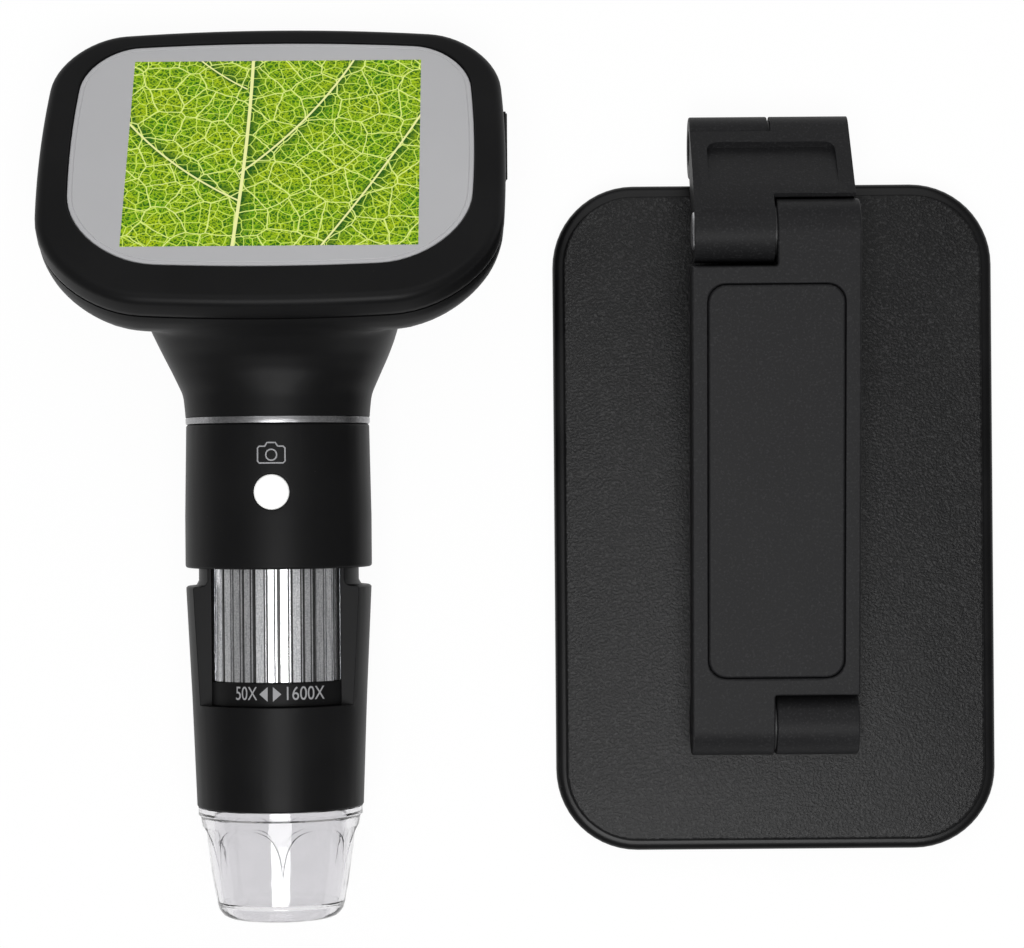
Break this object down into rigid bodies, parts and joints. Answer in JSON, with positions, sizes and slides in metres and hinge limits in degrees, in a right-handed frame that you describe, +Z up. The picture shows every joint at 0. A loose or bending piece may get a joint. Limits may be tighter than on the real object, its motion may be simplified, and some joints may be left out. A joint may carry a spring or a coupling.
{
  "type": "handheld lcd digital microscope with folding stand",
  "caption": "Handheld digital microscope with a tilted rectangular LCD head, ribbed focus wheel and clear hood, lying beside its folding-arm stand.",
  "frame": {"origin": "on the table, under the middle of the box round the microscope and its stand", "axes": "+Z up from the table, +Y along the barrel from the hood to the screen head, +X from the microscope to the stand"},
  "size_m": [0.1735, 0.162, 0.0463],
  "materials": {
    "satin_black": "satin moulded plastic, near black",
    "grained_black": "fine-grained moulded plastic, dark grey-black",
    "screen": "grey screen window with a lit picture",
    "module_grey": "grey module casing",
    "board_green": "green circuit board",
    "battery_foil": "silver pouch foil",
    "steel": "plated steel",
    "bright_ring": "bright plated ring",
    "wheel_metal": "silver ribbed metal finish",
    "inner_black": "black inner plastic",
    "ribbon_amber": "amber film cable",
    "led_white": "white board and lamp bodies",
    "lens_glass": "coated lens glass",
    "white_plastic": "white key plastic",
    "clear_plastic": "clear moulded polycarbonate",
    "foot_rubber": "soft black rubber",
    "washer_nylon": "thin black nylon friction washer"
  },
  "bodies": {
    "microscope": {"front_shell": "satin_black", "rear_shell": "satin_black", "screen_glass": "screen", "lcd_panel": "module_grey", "main_board": "board_green", "battery": "battery_foil", "usb_socket": "steel", "card_socket": "steel", "case_screws": "steel", "trim_ring": "bright_ring", "upper_housing": "satin_black", "sensor_board": "board_green", "image_sensor": "module_grey", "button_board": "board_green", "tact_switch": "inner_black", "ribbon_cable": "ribbon_amber", "lower_shell": "satin_black", "scale_band": "satin_black", "guide_tube": "inner_black", "key_switches": "inner_black", "led_board": "led_white", "leds": "led_white", "light_diffuser": "clear_plastic"},
    "focus_wheel": {"focus_wheel": "wheel_metal"},
    "lens_carriage": {"lens_carriage": "inner_black", "objective_lens": "lens_glass"},
    "snapshot_button": {"snapshot_button": "white_plastic"},
    "power_button": {"power_button": "satin_black"},
    "mode_button": {"mode_button": "satin_black"},
    "clear_hood": {"clear_hood": "clear_plastic"},
    "stand_base": {"base_shell": "grained_black", "base_cover": "grained_black", "ballast_plate": "steel", "rubber_feet": "foot_rubber", "base_screws": "steel", "hinge_bracket": "grained_black", "bracket_screws": "steel", "base_pin": "steel", "base_washer": "washer_nylon"},
    "stand_arm": {"stand_arm": "grained_black", "arm_panel": "grained_black", "arm_pin": "steel", "arm_washer": "washer_nylon"},
    "stand_link": {"stand_link": "grained_black", "link_pin": "steel", "link_washer": "washer_nylon"},
    "end_swivel": {"end_swivel": "grained_black"}
  },
  "joints": [
    {"name": "focus_turn", "type": "hinge", "parent": "microscope", "child": "focus_wheel", "pos_m": [-0.0448, -0.02788, 0.0169], "axis": [0, 1, 0], "range_deg": [0, 300]},
    {"name": "focus_slide", "type": "slide", "parent": "microscope", "child": "lens_carriage", "axis": [0, 1, 0], "range_m": [0, 0.008]},
    {"name": "snapshot_press", "type": "slide", "parent": "microscope", "child": "snapshot_button", "axis": [0, 0, -1], "range_m": [0, 0.0005], "stiffness_N_per_m": 800, "springref_m": -0.0002},
    {"name": "power_press", "type": "slide", "parent": "microscope", "child": "power_button", "axis": [-1, 0, 0], "range_m": [0, 0.0003], "stiffness_N_per_m": 800, "springref_m": -0.0002},
    {"name": "mode_press", "type": "slide", "parent": "microscope", "child": "mode_button", "axis": [-1, 0, 0], "range_m": [0, 0.0003], "stiffness_N_per_m": 800, "springref_m": -0.0002},
    {"name": "hood_pull", "type": "slide", "parent": "microscope", "child": "clear_hood", "axis": [0, -1, 0], "range_m": [0, 0.03]},
    {"name": "stand_lift", "type": "slide", "parent": "microscope", "child": "stand_base", "axis": [0, 0, 1], "range_m": [0, 0.06]},
    {"name": "arm_fold", "type": "hinge", "parent": "stand_base", "child": "stand_arm", "pos_m": [0.0454, -0.0473, 0.012], "axis": [1, 0, 0], "range_deg": [0, 110]},
    {"name": "link_fold", "type": "hinge", "parent": "stand_arm", "child": "stand_link", "pos_m": [0.0454, 0.04232, 0.02131], "axis": [1, 0, 0], "range_deg": [0, 100]},
    {"name": "swivel_turn", "type": "hinge", "parent": "stand_link", "child": "end_swivel", "pos_m": [0.0454, 0.05881, 0.0063], "axis": [1, 0, 0], "range_deg": [-90, 90]}
  ],
  "couplings": [
    {"joint": "focus_slide", "follows": "focus_turn", "m_per_rad": 0.0015}
  ]
}
